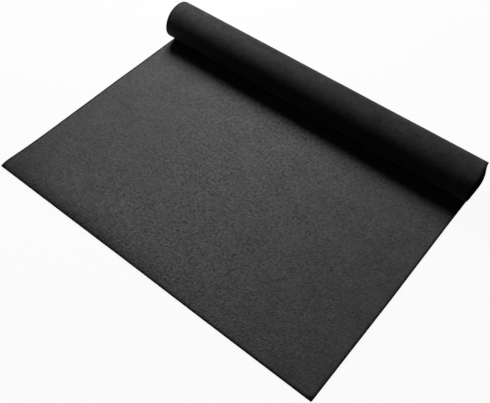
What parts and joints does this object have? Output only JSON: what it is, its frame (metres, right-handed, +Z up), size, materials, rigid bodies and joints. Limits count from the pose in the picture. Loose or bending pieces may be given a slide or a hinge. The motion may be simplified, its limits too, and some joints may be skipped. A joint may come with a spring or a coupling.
{
  "type": "bike trainer mat",
  "caption": "Thin rectangular foam mat that lies on the floor under an indoor bike trainer, shown partly laid flat and partly rolled up.",
  "frame": {"origin": "on the floor, in the middle of the mat's bounding box", "axes": "+X along the roll, across the mat's width; +Y from the free front edge towards the roll; +Z up"},
  "size_m": [0.762, 0.5716, 0.0872],
  "materials": {
    "vinyl": "matt, fine pebble grain on the top face, smoother underside"
  },
  "bodies": {
    "root": {"mat": "vinyl"}
  },
  "joints": []
}
